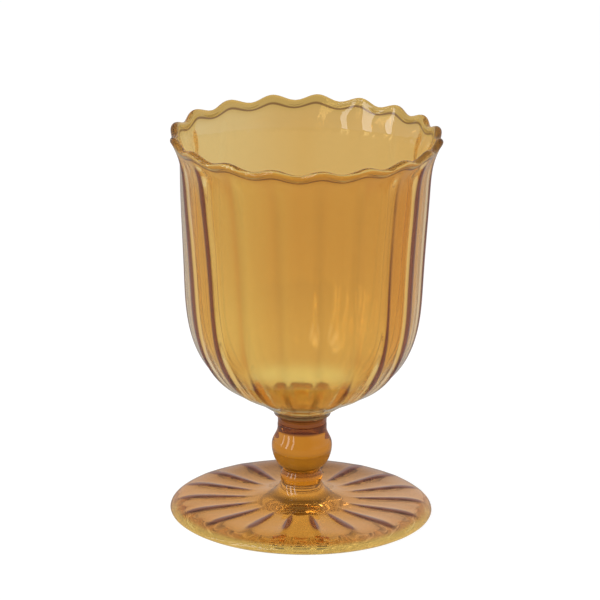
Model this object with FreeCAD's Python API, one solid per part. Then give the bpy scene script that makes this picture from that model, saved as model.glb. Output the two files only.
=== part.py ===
import FreeCAD, Part
import math
import os

# Footed glass vase: a fluted bowl with a scalloped lip, on a ball stem and a ribbed disc foot.
# Five pieces of amber glass stand on one another along the Z axis, welded hot face to face.
# The origin is the middle of the foot's underside, +Z is up and -Y is the front. Millimetres.

# Ribs, shared by the bowl and the foot because one ribbed mould shapes both
rib_count = 18
first_rib_angle = 10.0            # degrees from the front to the first rib beside it
rib_sharpness = 3                 # a rib's section is this power of a raised cosine
poles_per_rib = 6
skin_sectors = 3                  # faces round each ribbed skin

# Foot: a flat disc that rises to a short trumpet neck
foot_radius = 43.5
foot_thickness = 4.1              # of the disc, clear of the neck
foot_height = 10.6                # from the rest face to the weld with the collar
foot_rib_height = 0.45
foot_edge_round = 1.2             # from the widest line in to the ring it rests on
foot_ring_width = 5.0
foot_hollow_depth = 1.0

# Lower collar, between foot and knop
foot_collar_radius = 6.8
foot_collar_height = 4.2

# Knop: the solid ball of the stem
knop_seat_radius = 6.3            # at the weld with the lower collar
knop_radius = 10.0
knop_height = 16.6

# Upper collar, between knop and bowl
neck_radius = 8.1                 # at the weld with the knop, the waist of the stem
bowl_collar_height = 3.2
bowl_seat_radius = 9.4            # at the weld with the bowl

# Every weld shows as a fine groove, because both of its edges are rounded
weld_round = 0.3
seat_round = 0.1                  # where the bowl sits on its collar, almost without a line

# Bowl: a blown cup, thick at the bottom and thin in the wall
bowl_radius = 39.4                # outside, half way up
bowl_height = 95.1                # from the weld to the troughs of the lip
bowl_wall = 2.0
bowl_floor_thickness = 4.5
bowl_floor_flat_radius = 4.0
bowl_rib_height = 0.55            # on the outside
bowl_rib_depth = 0.35             # on the inside, where the same ribs stand inward
bowl_wall_drop = 0.03             # how much lower the inside runs, as a share of the depth

# Lip: a fire-polished bead, drawn out and up at every rib
lip_radius = 43.9                 # outside, at the troughs
lip_thickness = 2.3
lip_neck = 1.4                    # wall just under the bead
lip_scallop_out = 1.3
lip_scallop_rise = 1.8
lip_turn_start = -60.0            # degrees round the bead, from its outer side
lip_turn_end = 190.0
lip_steps = 5                     # stations round the bead, less one

# Drift of the ribs round the hand-blown bowl, from its seat up to the lip, in degrees
rib_drift = -9.0
rib_crowding = 6.0                # how much less they drift on one side, and more on the other
rib_crowding_angle = 20.0         # from the front to the side that drifts least

# Heights of the welds above the rest face
foot_weld = foot_height
knop_weld = foot_weld + foot_collar_height
neck_weld = knop_weld + knop_height
bowl_weld = neck_weld + bowl_collar_height

# Outlines as shares of the radius and of the height that each piece spans
foot_collar_shares = [(0.75, 0.75)]
knop_lower_shares = [(0.385, 0.118), (0.615, 0.186), (0.87, 0.317), (1.0, 0.48)]
knop_upper_shares = [(0.86, 0.62), (0.32, 0.75), (0.03, 0.87)]
bowl_collar_shares = [(0.0, 0.3), (0.21, 0.62), (0.69, 0.86)]

# The same for ribbed pieces, with the share of the rib's height at each point
foot_neck_shares = [
    (0.02, 0.72, 0.0),
    (0.063, 0.48, 0.0),
    (0.139, 0.276, 0.0),
    (0.249, 0.103, 0.15),
    (0.413, 0.017, 0.8),
]
foot_disc_shares = [
    (0.631, 1.0, 1.0),
    (0.795, 0.96, 1.0),
    (0.904, 0.8, 0.7),
    (0.973, 0.54, 0.2),
    (1.0, 0.25, 0.0),
]
bowl_underside_shares = [
    (0.292, 0.0234, 0.0),
    (0.386, 0.05, 0.3),
    (0.53, 0.082, 0.6),
    (0.685, 0.125, 0.9),
    (0.802, 0.178, 1.0),
]
bowl_wall_shares = [
    (0.898, 0.252, 1.0),
    (0.964, 0.359, 1.0),
    (0.992, 0.508, 1.0),
    (1.015, 0.678, 1.0),
    (1.036, 0.838, 1.0),
]
bowl_floor_shares = [
    (0.81, 0.165, 0.9),
    (0.69, 0.11, 0.6),
    (0.54, 0.062, 0.3),
    (0.36, 0.025, 0.0),
]

# From the top of the wall to the lip: shares of the flare, the bowl's height and the scallop
flare_shares = [(0.28, 0.934, 0.25), (0.62, 0.966, 0.65)]
lip_inside_share = 0.55           # of the scallop's reach, left on the inside of the bead


def between(start, end, share):
    """The value this share of the way from start to end."""
    return start + share * (end - start)


def weld_corner(radius, height, side, rounding=weld_round):
    """Three points of the rounded edge at a weld, from the end face to the side wall.

    side is 1 where the piece lies above the weld, and -1 where it lies below.
    """
    points = []
    for turn in (0, math.pi / 4, math.pi / 2):
        inset = rounding * (1 - math.sin(turn))
        rise = rounding * (1 - math.cos(turn))
        points.append((radius - inset, height + side * rise))
    return points


def running_lengths(points):
    """Length along the polygon at each of its points."""
    lengths = [0.0]
    for here, there in zip(points, points[1:]):
        lengths.append(lengths[-1] + math.dist(here, there))
    return lengths


def spline_through(points, parameters):
    """Smooth curve through (x, y, z) points."""
    curve = Part.BSplineCurve()
    curve.interpolate(Points=[FreeCAD.Vector(*point) for point in points], Parameters=parameters)
    return curve


def turned(bottom_radius, bottom, sides, top_radius, top, top_round=weld_round):
    """Solid of revolution with flat ends, rounded end edges and a smooth side between."""
    outline = weld_corner(bottom_radius, bottom, 1) + sides
    outline += reversed(weld_corner(top_radius, top, -1, top_round))
    side = spline_through([(x, 0, z) for x, z in outline], running_lengths(outline))
    axis_points = [FreeCAD.Vector(0, 0, top), FreeCAD.Vector(0, 0, bottom)]
    ends = Part.makePolygon([side.EndPoint] + axis_points + [side.StartPoint])
    section = Part.Face(Part.Wire([side.toShape()] + ends.Edges))
    return section.revolve(FreeCAD.Vector(), FreeCAD.Vector(0, 0, 1), 360)


def pole_gain(spacing):
    """How far outside its circle a ring of cubic spline poles lies, this angle apart."""
    return 3 / (2 + math.cos(spacing))


def rib_wave(angle, softness):
    """One at the crest of a rib and nought between ribs: a soft wave where softness is 1."""
    raised = (1 + math.cos(rib_count * angle)) / 2
    return between(raised**rib_sharpness, raised, softness)


def drifted(angle, share):
    """Angle round the bowl after this share of the ribs' drift."""
    side = math.cos(angle + math.radians(90 - rib_crowding_angle))
    return angle + share * math.radians(rib_drift + rib_crowding * side)


def ribbed_solid(stations, seams, drift_share):
    """Solid inside a ribbed skin, through stations of (radius, height, rib out, rib up).

    The outline and the lift of its ribs are two splines on the same parameters, so every pole
    of the outline has its own lift, and rings of such poles make the skin. The running length
    takes the Y place in the lift, because its points may not coincide. seams numbers the
    stations where one face of the skin ends and the next begins, and drift_share gives the
    share of the ribs' drift at a height.
    """
    lengths = running_lengths([(radius, height) for radius, height, out, up in stations])
    outline = spline_through([(radius, 0, height) for radius, height, out, up in stations], lengths)
    lift_points = [(out, at, up) for (radius, height, out, up), at in zip(stations, lengths)]
    lift = spline_through(lift_points, lengths)

    steps = rib_count * poles_per_rib
    ring_gain = pole_gain(2 * math.pi / steps)
    rib_gain = pole_gain(2 * math.pi / poles_per_rib)
    rows = []
    for step in range(steps):
        from_rib = 2 * math.pi * step / steps
        angle = from_rib + math.radians(first_rib_angle - 90)
        row = []
        for pole, rise in zip(outline.getPoles(), lift.getPoles()):
            softness = min(max(rise.z / lip_scallop_rise, 0), 1)
            wave = rib_gain * rib_wave(from_rib, softness)
            radius = ring_gain * (pole.x + wave * rise.x)
            turn = drifted(angle, drift_share(pole.z))
            row.append(
                FreeCAD.Vector(radius * math.cos(turn), radius * math.sin(turn), pole.z + wave * rise.z)
            )
        rows.append(row)

    skin = Part.BSplineSurface()
    skin.buildFromPolesMultsKnots(
        rows,
        [1] * (steps + 1),
        outline.getMultiplicities(),
        [float(step) for step in range(steps + 1)],
        outline.getKnots(),
        True,
        False,
        3,
        3,
    )
    faces = [Part.Face(Part.Wire([skin.vIso(end).toShape()])) for end in (lengths[0], lengths[-1])]
    cuts = [lengths[0]] + [lengths[seam] for seam in seams] + [lengths[-1]]
    for sector in range(skin_sectors):
        for start, end in zip(cuts, cuts[1:]):
            face = skin.copy()
            face.segment(steps * sector / skin_sectors, steps * (sector + 1) / skin_sectors, start, end)
            faces.append(face.toShape())
    closed = Part.Compound(faces)
    closed.sewShape()
    return Part.Solid(closed.Shells[0])


def foot():
    """Ribbed disc with a trumpet neck, hollowed beneath so that it stands on a flat ring."""
    stations = []
    for radius, height in weld_corner(foot_collar_radius, foot_weld, -1):
        stations.append((radius, height, 0, 0))
    for out, up, rib in foot_neck_shares:
        radius = between(foot_collar_radius, foot_radius, out)
        stations.append((radius, between(foot_thickness, foot_height, up), 0, rib * foot_rib_height))
    for out, up, rib in foot_disc_shares:
        radius = between(foot_collar_radius, foot_radius, out)
        stations.append((radius, up * foot_thickness, 0, rib * foot_rib_height))
    widest = len(stations) - 1
    ring_outer = foot_radius - foot_edge_round
    stations.append((ring_outer, 0, 0, 0))
    solid = ribbed_solid(stations, [widest], lambda height: 0)

    ring_inner = ring_outer - foot_ring_width
    dome_radius = (ring_inner**2 + foot_hollow_depth**2) / (2 * foot_hollow_depth)
    dome = Part.makeSphere(dome_radius, FreeCAD.Vector(0, 0, foot_hollow_depth - dome_radius))
    return solid.cut(dome)


def foot_collar():
    """Short collar that carries the knop on the foot and narrows to it."""
    sides = []
    for out, up in foot_collar_shares:
        sides.append((between(knop_seat_radius, foot_collar_radius, out), between(foot_weld, knop_weld, up)))
    return turned(foot_collar_radius, foot_weld, sides, knop_seat_radius, knop_weld)


def knop():
    """Solid ball, a little flattened, that narrows to both collars."""
    sides = []
    for out, up in knop_lower_shares:
        sides.append((between(knop_seat_radius, knop_radius, out), knop_weld + up * knop_height))
    for out, up in knop_upper_shares:
        sides.append((between(neck_radius, knop_radius, out), knop_weld + up * knop_height))
    return turned(knop_seat_radius, knop_weld, sides, neck_radius, neck_weld)


def bowl_collar():
    """Short neck that opens from the knop to the seat of the bowl."""
    sides = []
    for out, up in bowl_collar_shares:
        radius = between(neck_radius, bowl_seat_radius, out)
        sides.append((radius, neck_weld + up * bowl_collar_height))
    return turned(neck_radius, neck_weld, sides, bowl_seat_radius, bowl_weld, seat_round)


def lip_stations():
    """Round bead over the lip, from the outside of the wall to its inside."""
    bead = lip_thickness / 2
    stations = []
    for step in range(lip_steps + 1):
        inward = step / lip_steps
        turn = math.radians(between(lip_turn_start, lip_turn_end, inward))
        radius = lip_radius - bead + bead * math.cos(turn)
        height = bowl_weld + bowl_height - bead + bead * math.sin(turn)
        reach = lip_scallop_out * between(1, lip_inside_share, inward)
        stations.append((radius, height, reach, lip_scallop_rise))
    return stations


def bowl_drift_share(height):
    """Nought at the seat of the bowl and one at its lip."""
    return min(max((height - bowl_weld) / bowl_height, 0), 1)


def bowl():
    """Blown cup: underside, ribbed wall and flare outside, over the lip and down to the floor."""
    stations = []
    for radius, height in weld_corner(bowl_seat_radius, bowl_weld, 1, seat_round):
        stations.append((radius, height, 0, 0))
    for out, up, rib in bowl_underside_shares + bowl_wall_shares:
        stations.append((out * bowl_radius, bowl_weld + up * bowl_height, rib * bowl_rib_height, 0))

    wall_top = bowl_wall_shares[-1][0] * bowl_radius
    inner = []
    for out, up, scallop in flare_shares:
        radius = between(wall_top, lip_radius, out)
        height = bowl_weld + up * bowl_height
        rise = scallop * lip_scallop_rise
        outside = between(bowl_rib_height, lip_scallop_out, scallop)
        inside = between(-bowl_rib_depth, lip_scallop_out * lip_inside_share, scallop)
        stations.append((radius, height, outside, rise))
        inner.append((radius - between(bowl_wall, lip_neck, scallop), height, inside, rise))

    floor = bowl_weld + bowl_floor_thickness
    cavity_height = bowl_height - bowl_floor_thickness
    cavity_radius = bowl_radius - bowl_wall
    lip_start = len(stations)
    stations += lip_stations()
    lip_end = len(stations) - 1
    stations += reversed(inner)
    inside_shares = [(out, up - bowl_wall_drop * (1 - up), rib) for out, up, rib in bowl_wall_shares]
    for out, up, rib in list(reversed(inside_shares)) + bowl_floor_shares:
        stations.append((out * cavity_radius, floor + up * cavity_height, -rib * bowl_rib_depth, 0))
    stations.append((bowl_floor_flat_radius, floor, 0, 0))
    return ribbed_solid(stations, [lip_start, lip_end], bowl_drift_share)


pieces = {
    "foot": foot(),
    "foot_collar": foot_collar(),
    "knop": knop(),
    "bowl_collar": bowl_collar(),
    "bowl": bowl(),
}

os.makedirs("parts", exist_ok=True)
for name, solid in pieces.items():
    solid.exportStep(f"parts/{name}.step")
    print(name, "valid" if solid.isValid() else "INVALID", round(solid.Volume, 1), "mm3")
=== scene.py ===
import math

import bmesh
import bpy
import numpy as np
from mathutils import Matrix, Vector


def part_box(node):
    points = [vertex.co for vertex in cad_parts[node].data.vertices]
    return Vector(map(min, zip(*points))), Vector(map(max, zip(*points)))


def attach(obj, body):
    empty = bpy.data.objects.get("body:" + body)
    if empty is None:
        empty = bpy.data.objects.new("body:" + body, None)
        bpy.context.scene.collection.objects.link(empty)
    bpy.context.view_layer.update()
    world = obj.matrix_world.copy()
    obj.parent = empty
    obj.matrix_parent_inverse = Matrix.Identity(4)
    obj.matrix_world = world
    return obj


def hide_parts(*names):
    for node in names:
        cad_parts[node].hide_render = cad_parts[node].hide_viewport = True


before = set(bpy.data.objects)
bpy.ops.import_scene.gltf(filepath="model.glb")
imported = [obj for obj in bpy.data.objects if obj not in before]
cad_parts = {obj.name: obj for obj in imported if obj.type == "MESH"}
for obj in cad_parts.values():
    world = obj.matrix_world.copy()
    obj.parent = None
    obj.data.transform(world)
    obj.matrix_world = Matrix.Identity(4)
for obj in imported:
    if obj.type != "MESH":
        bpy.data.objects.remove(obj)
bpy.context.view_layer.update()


# Foot: a disc pressed in a mould of 18 ribs, drawn up in the middle to a short trumpet neck.
# Amber glass, thick enough to weigh the vase down, with a shallow hollow ground out beneath
# so that it stands on a flat ring. The neck is welded hot to the collar above it.
rib_count = 18
first_rib = math.radians(10)      # from the front to the first rib beside it
rib_sharpness = 4                 # a rib's section is this power of a raised cosine
rib_core = 1.5                    # its dark core is narrower by this power
steps_per_rib = 14
crowding = 0.5                    # how much closer the steps lie at a rib
weld_gap = 0.00001                # between two fused end faces
weld_round = 0.0003

foot_floor, foot_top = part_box("foot")[0].z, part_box("foot")[1].z
foot_radius = 0.0435
foot_thickness = 0.0041
foot_neck_radius = 0.0068
foot_rib_height = 0.00045
foot_rib_softness = 0.2
foot_ring_outer = 0.0423
foot_ring_inner = 0.0373
foot_hollow_depth = 0.001
foot_facet = 0.0008
foot_neck_line = [
    (0.02, 0.72, 0),
    (0.063, 0.48, 0),
    (0.139, 0.276, 0),
    (0.249, 0.103, 0.1),
    (0.413, 0.017, 0.7),
]
foot_disc_line = [(0.631, 1, 1), (0.795, 0.96, 0.7), (0.904, 0.8, 0.35), (0.973, 0.54, 0.1), (1, 0.25, 0)]
foot_hollow_line = [(0.99, 0), (0.75, 0.437), (0.5, 0.75), (0.25, 0.937)]


def between(start, end, share):
    """The value this share of the way from start to end."""
    return start + share * (end - start)


def plain(points):
    """Rows of an outline without ribs through these points."""
    return [(radius, height, 0, 0, 0, 0) for radius, height in points]


def rounded_corner(radius, height, side, rounding=weld_round):
    """The rounded edge of an end face: side is 1 at the bottom of a piece and -1 at its top."""
    corner = []
    for turn in (0, math.pi / 4, math.pi / 2):
        inset = rounding * (1 - math.sin(turn))
        corner.append((radius - inset, height + side * rounding * (1 - math.cos(turn))))
    return plain(corner)


def smooth_line(rows, spacing):
    """The smooth curve through rows of (radius, height, rib out, rib up, softness, outer)."""
    rows = np.array(rows, float)
    spans = np.hypot(*np.diff(rows[:, :2], axis=0).T)
    system = np.eye(len(rows))
    slopes = np.diff(rows, axis=0) / spans[:, None]
    change = np.zeros_like(rows)
    for i in range(1, len(rows) - 1):
        system[i, i - 1 : i + 2] = spans[i - 1], 2 * (spans[i - 1] + spans[i]), spans[i]
        change[i] = 6 * (slopes[i] - slopes[i - 1])
    bends = np.linalg.solve(system, change)
    line = [rows[0]]
    for i, span in enumerate(spans):
        steps = max(3, round(span / spacing))
        for step in range(1, steps + 1):
            s = span * step / steps
            linear = slopes[i] - span * (2 * bends[i] + bends[i + 1]) / 6
            cubic = (bends[i + 1] - bends[i]) / (6 * span)
            line.append(rows[i] + s * linear + s**2 * bends[i] / 2 + s**3 * cubic)
    return line


def rib_wave(angle, softness):
    """One at the crest of a rib and nought between ribs: a soft wave where softness is 1."""
    raised = (1 + math.cos(rib_count * angle)) / 2
    return between(raised**rib_sharpness, raised, min(max(softness, 0), 1))


def straight(angle, height):
    """A rib that doesn't drift round the piece."""
    return angle


def turned_skin(line, drift, steps, full_rib):
    """Spins an outline that starts and ends on the axis, lifts the ribs and marks their cores."""
    bm = bmesh.new()
    layers = [bm.verts.layers.float.new(name) for name in ("rib_out", "rib_up", "softness", "outer")]
    core_layer = bm.verts.layers.float.new("rib_core")
    last = None
    for radius, height, *marks in line:
        vertex = bm.verts.new((radius, 0, height))
        for layer, value in zip(layers, marks):
            vertex[layer] = value
        if last:
            bm.edges.new((last, vertex))
        last = vertex
    bmesh.ops.spin(
        bm, geom=bm.verts[:] + bm.edges[:], axis=(0, 0, 1), angle=2 * math.pi, steps=steps, use_merge=True
    )
    bmesh.ops.remove_doubles(bm, verts=bm.verts[:], dist=1e-7)
    for vertex in bm.verts:
        x, y, height = vertex.co
        out, up, softness, outer = (vertex[layer] for layer in layers)
        angle = math.atan2(y, x) + math.pi / 2 - first_rib
        angle -= crowding * math.sin(rib_count * angle) / rib_count
        wave = rib_wave(angle, softness)
        strength = outer * (1 - softness) * min(max(out + up, 0) / full_rib, 1)
        vertex[core_layer] = strength * rib_wave(angle, 0) ** rib_core
        radius = math.hypot(x, y) + wave * out
        turn = drift(angle + first_rib - math.pi / 2, height)
        vertex.co = (radius * math.cos(turn), radius * math.sin(turn), height + wave * up)
    bmesh.ops.recalc_face_normals(bm, faces=bm.faces[:])
    return bm


def finish_piece(name, bm, welds, glass):
    """Marks the fused end faces, makes the object, and puts it in the CAD node's place."""
    fused = bm.faces.layers.float.new("fused")
    for face in bm.faces:
        face.smooth = True
        height = face.calc_center_median().z
        face[fused] = float(any(abs(height - weld) < weld_gap / 2 for weld in welds))
    mesh = bpy.data.meshes.new(name + "_glass")
    bm.to_mesh(mesh)
    bm.free()
    mesh.materials.append(glass)
    piece = bpy.data.objects.new(name + "_glass", mesh)
    bpy.context.scene.collection.objects.link(piece)
    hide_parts(name)
    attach(piece, "root")


class Wire:
    """A socket of a material. Arithmetic on wires adds the Math nodes for it."""

    def __init__(self, finish, socket):
        self.finish = finish
        self.socket = socket

    def maths(self, operation, first, second):
        return self.finish.node("ShaderNodeMath", {"operation": operation}, {0: first, 1: second})

    def __add__(self, other):
        return self.maths("ADD", self, other)

    def __mul__(self, other):
        return self.maths("MULTIPLY", self, other)

    def __rsub__(self, other):
        return self.maths("SUBTRACT", other, self)

    __radd__ = __add__
    __rmul__ = __mul__


class Finish:
    """The node tree of a material or of the world."""

    def __init__(self, owner):
        self.owner = owner
        owner.use_nodes = True
        self.tree = owner.node_tree
        self.tree.nodes.clear()

    def node(self, kind, settings, sockets, out=0):
        """Adds a node: its settings first, then the values or wires of its sockets."""
        made = self.tree.nodes.new(kind)
        for name, value in settings.items():
            setattr(made, name, value)
        for name, value in sockets.items():
            if isinstance(value, Wire):
                self.tree.links.new(value.socket, made.inputs[name])
            else:
                made.inputs[name].default_value = value
        return Wire(self, made.outputs[out]) if made.outputs else None

    def ramp(self, value, low, high):
        """Nought up to the low value, one from the high value on, and smooth between."""
        settings = {"interpolation_type": "SMOOTHSTEP"}
        return self.node("ShaderNodeMapRange", settings, {"Value": value, 1: low, 2: high})

    def band(self, value, low, high, edge):
        """One between the low and the high value, and nought from an edge's width outside them."""
        return self.ramp(value, low - edge, low) * (1 - self.ramp(value, high, high + edge))

    def mix(self, share, first, second):
        """A colour this share of the way from the first to the second."""
        return self.node("ShaderNodeMix", {"data_type": "RGBA"}, {0: share, 6: first, 7: second}, 2)


# The stain's colours, then the heights and reaches between which one gives way to another: up
# is measured from the table, across to the right and along to the back, all in metres. Facing
# is nought where the glass is seen square on and rises towards its outline.
amber_depth = (0.811, 0.555, 0.093)
mauve_edge_reflection = (0.9, 0.86, 1)
lip_amber = (0.72, 0.47, 0.13)
lit_bottom_amber = (0.97, 0.87, 0.48)
painted_line_brown = (0.075, 0.012, 0.008)
shade_brown = (0.045, 0.002, 0.0005)
deeper_power, deepest_power = 1.2, 1.5
edge_blend = 0.25
drawn_scale = (1, 1, 0.12)        # streaks and ripples are long, as the glass was drawn upwards
streak_scale, ripple_scale = 90, 160
ripple_depth = 0.0004
inside_roughness = 0.02
glass_index = 1.5

wall_up = (0.034, 0.058)
low_up = (0.045, 0.08)
disc_up = (0.005, 0.009)
# Painted light: the bowl's coat is paler at the left and in front, and low down
left_across = (-0.035, 0)
front_along = (-0.025, 0.01)
lip_blend = (0.5, 1)
deep_facing = (0.12, 0.25)
# Painted reflection: the wall turns mauve near its outline, at the sides and towards the back
reflection_facing, reflection_along = (0.33, 0.42), (-0.035, 0)
# Painted light along the front edge of the foot's rim
painted_rim_light, painted_rim_band = 0.9, (0, 0.0022, 0.001)
# Painted light: the bowl's bottom is paler
lit_bottom_band = (0, 0.041, 0.004)
# Painted reflection: the foot's right side, and less so its left, turn mauve
foot_right_reflection, foot_right_across = 0.1, (0.006, 0.034)
foot_left_reflection, foot_left_across = 0.03, (-0.034, -0.006)

# Painted shade: dark lines along the ribs, at the outline and under the lip's bead
slant_facing, slant_along = (0.09, 0.3), (-0.036, -0.02)
rib_shade, rib_shade_line, rib_shade_line_core = 0.2, 0.95, (0.04, 0.3)
underside_relief, underside_band = 0.6, (0.03, 0.041, 0.014)
outline_shade, outline_facing = 0.2, (0.38, 0.41, 0.015)
lip_shade_line, lip_shade_band = 0.9, (0.88, 0.92, 0.05)
# Painted shade: dark bands at the welds, on the far half of the foot and at the two ends of the lip
weld_shade_rings = [
    (0.93, (0.0292, 0.037, 0.001)),
    (0.7, (0.0138, 0.015, 0.0006)),
    (0.6, (0.0103, 0.0109, 0.0004)),
]
far_foot_shade, far_foot_along = 0.93, (0, 0.042)
lip_end_shade, lip_end_across_squared = 0.85, (0.0016, 0.00195)


def amber_glass(name, coat, light_coat, pale_shares, lit_bottom_share, low_haze, density, waviness):
    """Stained glass, with painted light, shade and reflection. The light coat's shares are those low down,
    at the left, in front and within; the first three paint light.
    """
    f = Finish(bpy.data.materials.new(name))
    place = f.node("ShaderNodeTexCoord", {}, {}, "Object")
    across, along, up = (f.node("ShaderNodeSeparateXYZ", {}, {0: place}, axis) for axis in "XYZ")
    drawn = f.node("ShaderNodeMapping", {}, {"Vector": place, "Scale": drawn_scale})
    streaks = f.node("ShaderNodeTexNoise", {}, {"Vector": drawn, "Scale": streak_scale, "Detail": 2})
    ripples = f.node("ShaderNodeTexNoise", {}, {"Vector": drawn, "Scale": ripple_scale, "Detail": 1})
    facing = f.node("ShaderNodeLayerWeight", {}, {"Blend": edge_blend}, "Facing")
    from_inside = f.node("ShaderNodeNewGeometry", {}, {}, "Backfacing")
    core, lip, outer, fused = (
        f.node("ShaderNodeAttribute", {"attribute_name": mark}, {}, "Fac")
        for mark in ("rib_core", "softness", "outer", "fused")
    )

    # The stain, deeper where it lies thick and near the outline; painted light makes it paler low down, at
    # the left, in front, on the bowl's bottom and along the front of the foot's rim, and painted
    # reflection makes it mauve near the outline and on the foot's sides
    wall = outer * f.ramp(up, *wall_up)
    disc = 1 - f.ramp(up, *disc_up)
    # Painted light: on the bowl the coat is paler low down, at the left and in front
    low = 1 - f.ramp(up, *low_up)
    left = 1 - f.ramp(across, *left_across)
    front = 1 - f.ramp(along, *front_along)
    pale = sum(share * shown for share, shown in zip(pale_shares, (low, left, front, from_inside)))
    # Painted light along the front of the foot's rim
    pale = pale + painted_rim_light * front * f.band(up, *painted_rim_band)
    deeper = tuple(channel**deeper_power for channel in coat)
    deepest = tuple(channel**deepest_power for channel in coat)
    tint = f.mix(pale, f.mix(streaks, (*coat, 1), (*deeper, 1)), (*light_coat, 1))
    tint = f.mix(f.ramp(lip, *lip_blend), tint, (*lip_amber, 1))
    # Painted light on the bowl's floor and underside
    tint = f.mix(lit_bottom_share * f.band(up, *lit_bottom_band), tint, (*lit_bottom_amber, 1))
    tint = f.mix(f.ramp(facing, *deep_facing) * wall, tint, (*deepest, 1))
    # Painted reflection: mauve near the outline of the wall
    mauve = f.ramp(facing, *reflection_facing) * f.ramp(along, *reflection_along) * wall
    tint = f.mix(mauve, tint, (*mauve_edge_reflection, 1))
    # Painted reflection on the two sides of the foot
    side_reflection = foot_right_reflection * f.ramp(across, *foot_right_across)
    side_reflection = side_reflection + foot_left_reflection * (1 - f.ramp(across, *foot_left_across))
    tint = f.mix(side_reflection * disc, tint, (*mauve_edge_reflection, 1))

    # Painted shade: rib cores, drawn as dark lines where the wall slants away, with the outline and the
    # lip
    slanted = f.ramp(facing, *slant_facing) * f.ramp(along, *slant_along)
    relieved = 1 - underside_relief * f.band(up, *underside_band)
    line = rib_shade * core + rib_shade_line * relieved * f.ramp(core * slanted, *rib_shade_line_core)
    line = line + outline_shade * f.band(facing, *outline_facing) * wall
    line = line + lip_shade_line * f.band(lip, *lip_shade_band)
    tint = f.mix(line * (1 - from_inside), tint, (*painted_line_brown, 1))

    # Painted shade: welds, the far half of the foot and the two ends of the lip are darker still
    painted_shade = sum(shade * f.band(up, *heights) for shade, heights in weld_shade_rings)
    painted_shade = painted_shade + far_foot_shade * f.ramp(along, *far_foot_along) * disc
    painted_shade = painted_shade + lip_end_shade * lip * f.ramp(across * across, *lip_end_across_squared)
    tint = f.mix(painted_shade * (1 - from_inside), tint, (*shade_brown, 1))

    wavy = {"Strength": waviness, "Distance": ripple_depth, "Height": ripples}
    glass = {
        "Base Color": tint,
        "Roughness": (1 - outer) * (inside_roughness + low_haze * low),
        "IOR": glass_index,
        "Transmission Weight": 1,
        "Normal": f.node("ShaderNodeBump", {}, wavy),
    }
    shine = f.node("ShaderNodeBsdfPrincipled", {}, glass)
    open_weld = f.node("ShaderNodeBsdfTransparent", {}, {})
    surface = f.node("ShaderNodeMixShader", {}, {0: fused, 1: shine, 2: open_weld})
    depth = f.node("ShaderNodeVolumeAbsorption", {}, {"Color": (*amber_depth, 1), "Density": density})
    f.node("ShaderNodeOutputMaterial", {}, {"Surface": surface, "Volume": depth})
    return f.owner


foot_glass = amber_glass(
    "amber_foot_glass",
    coat=(0.62, 0.19, 0.02),
    light_coat=(0.97, 0.74, 0.22),
    pale_shares=(0, 0, 0, 1),
    lit_bottom_share=0,
    low_haze=0,
    density=6,
    waviness=0.2,
)

foot_line = plain([(0, foot_top - weld_gap)])
foot_side = rounded_corner(foot_neck_radius, foot_top - weld_gap, -1)
foot_rows = [(out, between(foot_thickness, foot_top, up), rib) for out, up, rib in foot_neck_line]
foot_rows += [(out, up * foot_thickness, rib) for out, up, rib in foot_disc_line]
for out, height, rib in foot_rows:
    radius = between(foot_neck_radius, foot_radius, out)
    foot_side.append((radius, height, 0, rib * foot_rib_height, foot_rib_softness, 1))
foot_side += plain([(foot_ring_outer, foot_floor)])
foot_line += smooth_line(foot_side, foot_facet)
foot_line += plain([(foot_ring_inner, foot_floor)])
foot_line += plain([(foot_ring_inner * out, foot_hollow_depth * up) for out, up in foot_hollow_line])
foot_line += plain([(0, foot_hollow_depth)])
foot = turned_skin(foot_line, straight, rib_count * steps_per_rib, foot_rib_height)
finish_piece("foot", foot, [foot_top - weld_gap], foot_glass)


# Stem: a short collar, a solid ball knop and a flared collar, each gathered hot on the one
# below. The glass is thick here, so it shows the deepest amber, and the rounded ends leave a
# fine groove at every weld, which painted shade in the glass darkens.
foot_collar_low, foot_collar_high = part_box("foot_collar")
knop_low, knop_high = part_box("knop")
bowl_collar_low, bowl_collar_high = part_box("bowl_collar")
knop_radius = knop_high.x
knop_seat_radius = 0.0063
neck_radius = 0.0081
bowl_seat_radius = 0.0094
seat_round = 0.0001
stem_steps = 144
stem_facet = 0.0004
foot_collar_line = [(0.75, 0.75)]
knop_lower_line = [(0.385, 0.118), (0.615, 0.186), (0.87, 0.317), (1, 0.48)]
knop_upper_line = [(0.86, 0.62), (0.32, 0.75), (0.03, 0.87)]
bowl_collar_line = [(0, 0.3), (0.21, 0.62), (0.69, 0.86)]


def stem_side(inner, outer, low, high, shares):
    """Points of a side, from shares of the way out and of the way up."""
    points = [(between(inner, outer, out), between(low, high, up)) for out, up in shares]
    return [(*row[:-1], 1) for row in plain(points)]


def stem_piece(name, bottom_radius, low, side, top_radius, high, glass, top_round=weld_round):
    """A gather of the stem, with flat fused ends and a smooth side through the given points."""
    low, high = low + weld_gap, high - weld_gap
    outline = rounded_corner(bottom_radius, low, 1) + side
    outline += reversed(rounded_corner(top_radius, high, -1, top_round))
    line = plain([(0, low)]) + smooth_line(outline, stem_facet) + plain([(0, high)])
    piece = turned_skin(line, straight, stem_steps, full_rib=1)
    finish_piece(name, piece, [low, high], glass)


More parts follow.
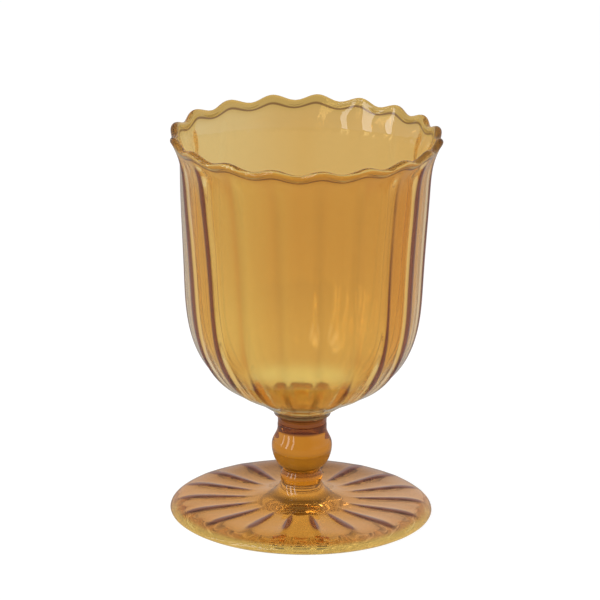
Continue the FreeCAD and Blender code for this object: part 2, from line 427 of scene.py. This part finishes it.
stem_glass = amber_glass(
    "amber_stem_glass",
    coat=(0.42, 0.08, 0.0012),
    light_coat=(0.98, 0.88, 0.4),
    pale_shares=(0, 0, 0, 1),
    lit_bottom_share=0,
    low_haze=0,
    density=4,
    waviness=0.1,
)
stem_piece(
    "foot_collar",
    foot_neck_radius,
    foot_collar_low.z,
    stem_side(knop_seat_radius, foot_neck_radius, foot_collar_low.z, foot_collar_high.z, foot_collar_line),
    knop_seat_radius,
    foot_collar_high.z,
    stem_glass,
)
stem_piece(
    "knop",
    knop_seat_radius,
    knop_low.z,
    stem_side(knop_seat_radius, knop_radius, knop_low.z, knop_high.z, knop_lower_line)
    + stem_side(neck_radius, knop_radius, knop_low.z, knop_high.z, knop_upper_line),
    neck_radius,
    knop_high.z,
    stem_glass,
)
stem_piece(
    "bowl_collar",
    neck_radius,
    bowl_collar_low.z,
    stem_side(neck_radius, bowl_seat_radius, bowl_collar_low.z, bowl_collar_high.z, bowl_collar_line),
    bowl_seat_radius,
    bowl_collar_high.z,
    stem_glass,
    seat_round,
)


# Bowl: blown into a ribbed mould and then let out, so that 18 soft ribs run up a thin wall and
# drift a little round it. The lip is fire-polished to a bead and pulled out and up at each rib
# into a scallop, and the thick bottom is welded to the collar.
bowl_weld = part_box("bowl")[0].z
bowl_radius = 0.0394
bowl_height = 0.0951
bowl_wall = 0.002
bowl_wall_drop = 0.03
bowl_floor_thickness = 0.0045
bowl_floor_flat_radius = 0.004
bowl_rib_height = 0.00055
bowl_rib_depth = 0.00005
bowl_rib_softness = 0.2
lip_radius = 0.0439
lip_thickness = 0.0023
lip_neck = 0.0014
lip_scallop_out = 0.0013
lip_scallop_rise = 0.0018
lip_inside_share = 0.55
lip_turn_start = math.radians(-60)
lip_turn_end = math.radians(190)
lip_steps = 5
rib_drift = -9                    # degrees from the seat to the lip
rib_crowding = 6
rib_crowding_angle = 20
rib_gathering = 6.4               # how much closer to the front ribs lie below the lip, at the sides
gathering_power = 6
bowl_facet = 0.0009
underside_line = [
    (0.292, 0.0234, 0),
    (0.386, 0.05, 0.3),
    (0.53, 0.082, 0.6),
    (0.685, 0.125, 0.9),
    (0.802, 0.178, 1),
]
wall_line = [
    (0.898, 0.252, 1),
    (0.964, 0.359, 1),
    (0.992, 0.508, 1),
    (1.015, 0.678, 1),
    (1.036, 0.838, 1),
]
floor_line = [(0.36, 0.025, 0), (0.54, 0.062, 0.3), (0.69, 0.11, 0.6), (0.81, 0.165, 0.9)]
flare_line = [(0.28, 0.934, 0.25), (0.62, 0.966, 0.65)]


def drifted(angle, height):
    """The angle round the bowl of a rib that started at this angle on the seat."""
    share = min(max((height - bowl_weld) / bowl_height, 0), 1)
    side = math.cos(angle + math.radians(90 - rib_crowding_angle))
    gathered = (1 - share**gathering_power) * rib_gathering * math.cos(angle)
    return angle + math.radians(share * (rib_drift + rib_crowding * side) - gathered)


bowl_low = bowl_weld + weld_gap
outside = rounded_corner(bowl_seat_radius, bowl_low, 1, seat_round)
for out, up, rib in underside_line + wall_line:
    height = bowl_weld + up * bowl_height
    outside.append((out * bowl_radius, height, rib * bowl_rib_height, 0, bowl_rib_softness, 1))

bowl_floor = bowl_weld + bowl_floor_thickness
cavity_radius = bowl_radius - bowl_wall
inside = plain([(bowl_floor_flat_radius, bowl_floor)])
inner_wall_line = [(out, up - bowl_wall_drop * (1 - up), rib) for out, up, rib in wall_line]
for out, up, rib in floor_line + inner_wall_line:
    height = between(bowl_floor, bowl_weld + bowl_height, up)
    inside.append((out * cavity_radius, height, -rib * bowl_rib_depth, 0, bowl_rib_softness, 0))

wall_top = wall_line[-1][0] * bowl_radius
for out, up, scallop in flare_line:
    radius = between(wall_top, lip_radius, out)
    height = bowl_weld + up * bowl_height
    rise = scallop * lip_scallop_rise
    softness = between(bowl_rib_softness, 1, scallop)
    reach = between(bowl_rib_height, lip_scallop_out, scallop)
    outside.append((radius, height, reach, rise, softness, 1 - scallop))
    radius -= between(bowl_wall, lip_neck, scallop)
    reach = between(-bowl_rib_depth, lip_scallop_out * lip_inside_share, scallop)
    inside.append((radius, height, reach, rise, softness, 0))

bead = lip_thickness / 2
lip = []
for step in range(lip_steps + 1):
    inward = step / lip_steps
    turn = between(lip_turn_start, lip_turn_end, inward)
    radius = lip_radius - bead + bead * math.cos(turn)
    height = bowl_weld + bowl_height - bead + bead * math.sin(turn)
    reach = lip_scallop_out * between(1, lip_inside_share, inward)
    lip.append((radius, height, reach, lip_scallop_rise, 1, 0))

bowl_line = plain([(0, bowl_low)])
bowl_line += smooth_line(outside + lip + inside[::-1], bowl_facet)
bowl_line += plain([(0, bowl_floor)])
bowl_glass = amber_glass(
    "amber_bowl_glass",
    coat=(0.86, 0.57, 0.2),
    light_coat=(0.91, 0.73, 0.33),
    pale_shares=(0.4, 0.55, 0.5, 0),
    lit_bottom_share=1,
    low_haze=0.12,
    density=5,
    waviness=0.15,
)
bowl = turned_skin(bowl_line, drifted, rib_count * steps_per_rib, bowl_rib_height)
finish_piece("bowl", bowl, [bowl_low], bowl_glass)


# Studio: a sheet of white paper under the vase. The camera sees it as white with the vase's
# shadow. Through the glass it looks a little darker, most of all far behind the vase, as a
# painted falloff of light darkens its colour and glow there; mirrored in the glass it is dark,
# so that the amber keeps its depth.
floor_size = 8
floor_drop = 0.00005
paper_near, paper_far = 0.95, 0.75
glow_near, glow_far = 0.77, 0.65
paper_glow = 1.2
camera_glow_share = 0.8
glass_glow_share = 0.9
mirrored_grey = 0.29
far_along = (0.1, 0.32)


def grey(level):
    """A colour for a socket, the same in all its channels."""
    return (level, level, level, 1)


f = Finish(bpy.data.materials.new("white_paper"))
camera_ray = f.node("ShaderNodeLightPath", {}, {}, "Is Camera Ray")
glassy_ray = f.node("ShaderNodeLightPath", {}, {}, "Is Glossy Ray")
through_ray = f.node("ShaderNodeLightPath", {}, {}, "Is Transmission Ray")
behind = f.node("ShaderNodeSeparateXYZ", {}, {0: f.node("ShaderNodeTexCoord", {}, {}, "Object")}, "Y")
# Painted light: the paper's colour and glow fall off from near the vase to far behind it
painted_falloff = f.ramp(behind, *far_along)
shade = f.mix(painted_falloff, grey(paper_near), grey(paper_far))
glow = f.mix(painted_falloff, grey(glow_near), grey(glow_far))
glow = f.mix(through_ray, grey(mirrored_grey), glow)
glow = f.mix(camera_ray, glow, grey(1))
paper = f.node("ShaderNodeBsdfDiffuse", {}, {"Color": shade})
white = f.node("ShaderNodeEmission", {}, {"Color": glow, "Strength": paper_glow})
seen = camera_glow_share * camera_ray + glass_glow_share * glassy_ray
sheet = f.node("ShaderNodeMixShader", {}, {0: seen, 1: paper, 2: white})
f.node("ShaderNodeOutputMaterial", {}, {"Surface": sheet})
bm = bmesh.new()
bmesh.ops.create_grid(bm, x_segments=1, y_segments=1, size=floor_size / 2)
bmesh.ops.translate(bm, verts=bm.verts[:], vec=(0, 0, -floor_drop))
floor_mesh = bpy.data.meshes.new("paper_floor")
bm.to_mesh(floor_mesh)
bm.free()
floor_mesh.materials.append(f.owner)
floor = bpy.data.objects.new("paper_floor", floor_mesh)
bpy.context.scene.collection.objects.link(floor)


# Light: pale walls at the sides, darker towards the ceiling and in front, and three tall strip
# lamps in front on the left that streak the glass.
wall_grey = (0.62, 0.6, 0.6, 1)
ceiling_grey = (0.24, 0.22, 0.23, 1)
ceiling_up = (0.1, 0.7)
back_shade, back_along = 0.2, (0.3, 0.9)
front_wall_along = (-1, -0.5)
lamp_azimuths_and_widths = [(-86, 0.1), (-61, 0.2), (-38, 0.12)]
lamp_elevation = 33
lamp_distance = 1.2
lamp_height = 1.6
lamp_radiance = 4
vase_middle = Vector((0, 0, 0.065))
world = bpy.data.worlds.new("studio")
bpy.context.scene.world = world
f = Finish(world)
camera_ray = f.node("ShaderNodeLightPath", {}, {}, "Is Camera Ray")
view = f.node("ShaderNodeTexCoord", {}, {}, "Generated")
upward = f.node("ShaderNodeSeparateXYZ", {}, {0: view}, "Z")
behind = f.node("ShaderNodeSeparateXYZ", {}, {0: view}, "Y")
shade = f.ramp(upward, *ceiling_up) + back_shade * f.ramp(behind, *back_along)
shade = shade + (1 - f.ramp(behind, *front_wall_along))
room = f.mix(camera_ray, f.mix(shade, wall_grey, ceiling_grey), grey(1))
f.node("ShaderNodeOutputWorld", {}, {"Surface": f.node("ShaderNodeBackground", {}, {"Color": room})})


for number, (azimuth, width) in enumerate(lamp_azimuths_and_widths):
    lamp = bpy.data.lights.new(f"strip_lamp_{number}", "AREA")
    lamp.shape = "RECTANGLE"
    lamp.size = width
    lamp.size_y = lamp_height
    lamp.energy = lamp_radiance * math.pi * width * lamp_height
    turn, rise = math.radians(azimuth), math.radians(lamp_elevation)
    away = Vector((math.sin(turn) * math.cos(rise), -math.cos(turn) * math.cos(rise), math.sin(rise)))
    stand = bpy.data.objects.new(lamp.name, lamp)
    stand.location = vase_middle + lamp_distance * away
    stand.rotation_euler = away.to_track_quat("Z", "Y").to_euler()
    bpy.context.scene.collection.objects.link(stand)


# Camera: a long lens from a little above, turned very slightly, because the vase leans in the
# photograph.
camera_distance = 2.0
camera_elevation = math.radians(18.7)
camera_roll = math.radians(0.8)
frame_side = 600
focal_pixels = 6060
row_seen = 324.9
column_seen = 304.1
glass_bounces = 96
lens = bpy.data.cameras.new("camera")
lens.sensor_width = 36
lens.lens = lens.sensor_width * focal_pixels / frame_side
lens.clip_end = 50
camera = bpy.data.objects.new("camera", lens)
back = Vector((0, -math.cos(camera_elevation), math.sin(camera_elevation)))
pitch = math.atan((row_seen - frame_side / 2) / focal_pixels)
yaw = math.atan((column_seen - frame_side / 2) / focal_pixels)
aim = Matrix.Rotation(yaw, 4, "Z") @ Matrix.Rotation(math.pi / 2 - camera_elevation + pitch, 4, "X")
camera.matrix_world = (
    Matrix.Translation(vase_middle + camera_distance * back)
    @ aim
    @ Matrix.Rotation(camera_roll, 4, "Z")
)
bpy.context.scene.collection.objects.link(camera)
bpy.context.scene.camera = camera
bpy.context.scene.view_settings.view_transform = "Standard"
bpy.context.scene.cycles.max_bounces = glass_bounces
bpy.context.scene.cycles.transmission_bounces = glass_bounces
bpy.context.scene.cycles.glossy_bounces = glass_bounces
